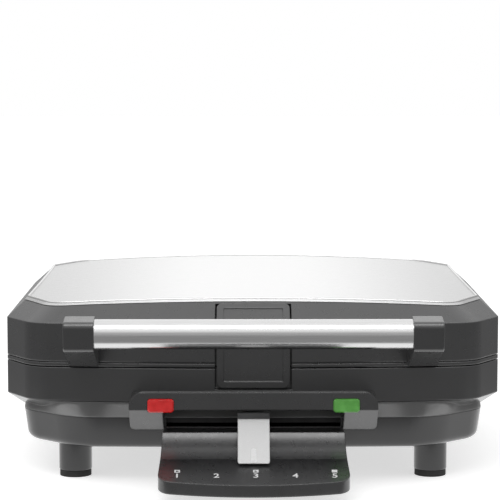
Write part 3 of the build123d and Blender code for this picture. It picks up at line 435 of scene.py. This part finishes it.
def laid_on(node, start, direction):
    """A place on the node where a ray lands: local z leaves the surface, local x stays level."""
    copy = merged_copy(node)
    spot, normal, _, _ = BVHTree.FromBMesh(copy).ray_cast(start, direction)
    copy.free()
    across = Vector((1, 0, 0))
    up = normal.cross(across).normalized()
    return Matrix.Translation(spot) @ Matrix((across, up, normal)).transposed().to_4x4()


print("piece helpers ready")

# %% [markdown]
# ## The rolled rim of the steel cover
# The sheet is rolled over at its edge, so a thin bright bead runs round the cover. The bead could
# be swept along a drawn outline, but the CAD node already has that outline: it is the row of edges
# where the top of the sheet turns down. Those edges are collected, followed round in order and
# given to a curve with a round section, which is then made a mesh.

# %% Follow the edge of the cover
sheet = merged_copy("cover_plate")
turning = [
    edge for edge in sheet.edges
    if len(edge.link_faces) == 2
    and max(face.normal.z for face in edge.link_faces) > 0.95
    and 0.2 < min(face.normal.z for face in edge.link_faces) < 0.9
]
outline = [turning[0].verts[0], turning[0].verts[1]]
while True:
    onward = [
        edge.other_vert(outline[-1]) for edge in turning
        if outline[-1] in edge.verts and outline[-2] not in edge.verts
    ]
    if not onward or onward[0] is outline[0]:
        break
    outline.append(onward[0])
rim_points = [vert.co.copy() for vert in outline]
sheet.free()
print("the cover's edge has", len(rim_points), "points")

# %% Sweep the bead round it
bead_radius = 1.0 * mm
bead_lift = 0.1 * bead_radius * Vector((0, 0, 1))
bead_line = bpy.data.curves.new("cover_rim_line", "CURVE")
bead_line.dimensions = "3D"
bead_line.bevel_depth = bead_radius
bead_line.bevel_resolution = 3
run = bead_line.splines.new("POLY")
run.points.add(len(rim_points) - 1)
run.use_cyclic_u = True
for point, corner in zip(run.points, rim_points):
    inward = Vector((-corner.x, lid_middle - corner.y, 0)).normalized()
    point.co = (*(corner + bead_radius * inward + bead_lift), 1)
bead = bpy.data.objects.new("cover_rim_line", bead_line)
rim_mesh = bpy.data.meshes.new_from_object(bead)
bpy.data.objects.remove(bead)
rim_mesh.shade_smooth()
new_piece("cover_rim", rim_mesh, "lid", satin_silver)

# %% [markdown]
# ## Numbers and browning marks on the scale
# The scale is pad-printed in white: 1 to 5, with a small waffle square over 1, 3 and 5 that goes
# from open to solid as the browning gets darker. Text is the quickest way to a digit. Each is made
# a thin solid mesh, and laid on the sloping shelf of the tongue.

# %% White print
white_print, shader = new_finish("white_print", (0.86, 0.86, 0.86), 0.0, 0.5)
specks = object_noise(white_print, (900, 900, 900), 2)
tint(white_print, specks, (0.78, 0.78, 0.78), (0.92, 0.92, 0.92), shader)
print_thickness = 0.05 * mm
number_pitch = 24.2 * mm
scale_middle = 1.2 * mm
number_line = front_wall - 63 * mm
mark_line = front_wall - 57.2 * mm
above_all = 0.2


def on_shelf(number, line):
    """The place on the shelf for what belongs to a number, on a line across the scale."""
    above = Vector(((number - 3) * number_pitch + scale_middle, line, above_all))
    return laid_on("scale_tongue", above, Vector((0, 0, -1)))


print("numbers stand", number_pitch / mm, "mm apart")

# %% Numbers
for number in range(1, 6):
    digit = bpy.data.curves.new("digit", "FONT")
    digit.body = str(number)
    digit.size = 7.4 * mm
    digit.align_x = "CENTER"
    digit.align_y = "CENTER"
    digit.offset = 0.12 * mm
    digit.extrude = print_thickness
    holder = bpy.data.objects.new("digit", digit)
    digit_mesh = bpy.data.meshes.new_from_object(holder)
    bpy.data.objects.remove(holder)
    digit_mesh.transform(on_shelf(number, number_line))
    new_piece(f"scale_number_{number}", digit_mesh, "base", white_print)

# %% Browning marks
mark_side = 3.4 * mm


def by_row(face):
    """Orders the cells of a mark from below to above, and from left to right in a row."""
    middle = face.calc_center_median()
    return round(middle.y, 5), middle.x


for number, filled in ((1, 0), (3, 1), (5, 4)):
    mark = bmesh.new()
    bmesh.ops.create_grid(mark, x_segments=4, y_segments=4, size=mark_side / 2)
    cells = sorted(mark.faces, key=by_row)
    middle_cells = [cells[k] for k in (5, 6, 9, 10)]
    bmesh.ops.delete(mark, geom=middle_cells[: 4 - filled], context="FACES")
    grown = bmesh.ops.extrude_face_region(mark, geom=mark.faces[:])
    lifted = [part for part in grown["geom"] if isinstance(part, bmesh.types.BMVert)]
    bmesh.ops.translate(mark, verts=lifted, vec=(0, 0, print_thickness))
    bmesh.ops.recalc_face_normals(mark, faces=mark.faces)
    mark_mesh = bpy.data.meshes.new("mark")
    mark.to_mesh(mark_mesh)
    mark.free()
    mark_mesh.transform(on_shelf(number, mark_line))
    new_piece(f"browning_mark_{number}", mark_mesh, "base", white_print)

# %% [markdown]
# ## The pointer on the knob
# A white inlay with a round top runs up the lower third of the knob's sloping face and shows the
# setting on the scale. It starts as a cube, stretched to a strip, with its two upper corners
# rounded by a bevel, and stands a hair proud of the face.

# %% Pointer
pointer_width = 3.3 * mm
pointer_length = 10.4 * mm
pointer_thickness = 0.3 * mm
pointer_round = 1.5 * mm
pointer_margin = 0.6 * mm
knob_slope = math.radians(44)
before_all = -0.5
strip = bmesh.new()
bmesh.ops.create_cube(strip, size=1.0)
stretch = (pointer_width, pointer_length, pointer_thickness)
bmesh.ops.scale(strip, verts=strip.verts, vec=stretch)
upper = [
    edge for edge in strip.edges
    if all(vert.co.y > 0 for vert in edge.verts)
    and abs(edge.verts[0].co.z - edge.verts[1].co.z) > pointer_thickness / 2
]
bmesh.ops.bevel(
    strip, geom=upper, offset=pointer_round, segments=5, profile=0.5, affect="EDGES", material=-1
)
pointer_mesh = bpy.data.meshes.new("pointer")
strip.to_mesh(pointer_mesh)
strip.free()
pointer_height = knob_low.z + 0.5 * pointer_length * math.cos(knob_slope) + pointer_margin
on_knob = laid_on("slider_knob", Vector((0, before_all, pointer_height)), Vector((0, 1, 0)))
pointer_mesh.transform(on_knob)
new_piece("knob_pointer", pointer_mesh, "slider", white_print)

# %% [markdown]
# ## Camera
# The photograph is taken from a little above, almost straight on, and from far away: the two side
# walls hardly converge. A long lens stands for that. The camera's distance, height and tilt were
# fitted so that the outlines of the render and the photograph lie on each other.

# %% Camera
camera_distance = 1328.4 * mm
camera_height = 285.7 * mm
camera_aside = -9.3 * mm
looks_down = 5.83
looks_aside = -0.31
camera_data = bpy.data.cameras.new("camera")
camera_data.lens = 151.2
camera_data.sensor_width = 36.0
camera = bpy.data.objects.new("camera", camera_data)
bpy.context.scene.collection.objects.link(camera)
camera.location = (camera_aside, front_wall - camera_distance, camera_height)
camera.rotation_euler = (math.radians(90 - looks_down), 0, math.radians(looks_aside))
bpy.context.scene.camera = camera
print("camera at", tuple(round(v, 3) for v in camera.location))

# %% [markdown]
# ## Light
# A light tent: white above, behind and straight ahead, with greyer sides and a grey opening for the
# camera. Polished black plastic shows only what it mirrors, so the grey keeps the upright walls
# dark, and the white draws the slopes. A brighter strip high up in front of the object gives thin
# light lines to rounded edges. The camera itself sees plain white. All these levels were set by
# trial against the photograph, for the front view, and say little about the real studio.

# %% World
world = bpy.data.worlds.new("light_tent")
bpy.context.scene.world = world
world.use_nodes = True
tree = world.node_tree
tree.nodes.clear()
out = tree.nodes.new("ShaderNodeOutputWorld")
way = axes(tree, "Generated")

sideways = worked_out(tree, "ABSOLUTE", way["X"])
sides = ramped(tree, sideways, 0.0, 0.55, 1.06, 0.38)
above = ramped(tree, way["Z"], 0.35, 0.7)
sky = ramped(tree, above, 0.0, 1.0, high=0.95, smooth=False)
tree.links.new(sides, sky.node.inputs["To Min"])

ahead = ramped(tree, way["Y"], -0.35, -0.75)
level = ramped(tree, way["Z"], 0.62, 0.25)
opening = worked_out(tree, "MULTIPLY", ahead, level)
tent = tree.nodes.new("ShaderNodeMixRGB")
tree.links.new(opening, tent.inputs["Fac"])
tree.links.new(sky, tent.inputs["Color1"])
tent.inputs["Color2"].default_value = (0.42, 0.42, 0.42, 1)

high = ramped(tree, way["Z"], 0.78, 0.85)
near = ramped(tree, way["Y"], -0.22, -0.34)
strip_light = worked_out(tree, "MULTIPLY", high, near)
brightness = ramped(tree, strip_light, 0.0, 1.0, 1.0, 3.6, smooth=False)
in_mirrors = tree.nodes.new("ShaderNodeBackground")
tree.links.new(tent.outputs["Color"], in_mirrors.inputs["Color"])
tree.links.new(brightness, in_mirrors.inputs["Strength"])


def plain_white(strength):
    """A white background of one strength."""
    background = tree.nodes.new("ShaderNodeBackground")
    background.inputs["Color"].default_value = (1, 1, 1, 1)
    background.inputs["Strength"].default_value = strength
    return background.outputs["Background"]


lit = mixed(
    tree, "ShaderNodeMixShader", mirrored(tree), plain_white(0.62), in_mirrors.outputs["Background"]
)
shown = mixed(tree, "ShaderNodeMixShader", seen_by_camera(tree), lit, plain_white(1.0))
tree.links.new(shown, out.inputs["Surface"])
print("light tent ready")

# %% [markdown]
# One wide, weak lamp from above and in front gives the shadows a direction. Its light is soft
# because it is large, and it is kept out of reflections so that no bright square shows in the
# gloss.

# %% Lamp
lamp_data = bpy.data.lights.new("soft_lamp", "AREA")
lamp_data.shape = "RECTANGLE"
lamp_data.size = 1.2
lamp_data.size_y = 0.9
lamp_data.energy = 6.0
lamp = bpy.data.objects.new("soft_lamp", lamp_data)
bpy.context.scene.collection.objects.link(lamp)
lamp.location = (-0.35, -0.75, 1.25)
lamp_target = Vector((0, 0, 0.05))
lamp.rotation_euler = (lamp_target - lamp.location).to_track_quat("-Z", "Y").to_euler()
lamp.visible_glossy = False
print("lamp of", lamp_data.energy, "W")

# %% [markdown]
# ## Floor
# A pale sheet that the appliance stands on. For the camera it is lifted to near white, with a soft
# shadow. What the gloss mirrors of it is white in a zone about the object and grey further out: the
# shoulders and undersides pick up the white, and the upright walls don't. A real sheet would mirror
# evenly, so this too is a way to the look and no copy of the studio.

# %% Floor
floor_mesh = bpy.data.meshes.new("floor")
build = bmesh.new()
bmesh.ops.create_grid(build, x_segments=1, y_segments=1, size=6.0)
build.to_mesh(floor_mesh)
build.free()
floor = bpy.data.objects.new("floor", floor_mesh)
bpy.context.scene.collection.objects.link(floor)
paper, shader = new_finish("white_paper", (0.86, 0.86, 0.86), 0.0, 0.9)
tint(paper, object_noise(paper, (9, 9, 9)), (0.85, 0.85, 0.85), (0.87, 0.87, 0.87), shader)

# %% What the floor shows to mirrors and to the camera
tree = paper.node_tree
place = axes(tree)
zone_stretch = 0.62
aside = worked_out(tree, "ABSOLUTE", worked_out(tree, "MULTIPLY", place["X"], zone_stretch))
along = worked_out(tree, "ABSOLUTE", place["Y"])
farthest = worked_out(tree, "MAXIMUM", aside, along)
zone = ramped(tree, farthest, 0.18, 0.21, 1.0, 0.27)
reflected = tree.nodes.new("ShaderNodeEmission")
tree.links.new(zone, reflected.inputs["Color"])
lift = tree.nodes.new("ShaderNodeEmission")
lift.inputs["Strength"].default_value = 0.6
lifted_paper = tree.nodes.new("ShaderNodeAddShader")
tree.links.new(shader.outputs["BSDF"], lifted_paper.inputs[0])
tree.links.new(lift.outputs["Emission"], lifted_paper.inputs[1])
plain = mixed(
    tree, "ShaderNodeMixShader", seen_by_camera(tree),
    shader.outputs["BSDF"], lifted_paper.outputs["Shader"],
)
both = mixed(
    tree, "ShaderNodeMixShader", mirrored(tree), plain, reflected.outputs["Emission"]
)
tree.links.new(both, tree.nodes["Material Output"].inputs["Surface"])
floor.data.materials.append(paper)
print("floor ready")

# %% [markdown]
# ## Finish
# The Standard view transform shows colours as they were written.

# %% Colours as written
bpy.context.scene.view_settings.view_transform = "Standard"
print("view transform Standard")

# %% Finish
print("scene finished")
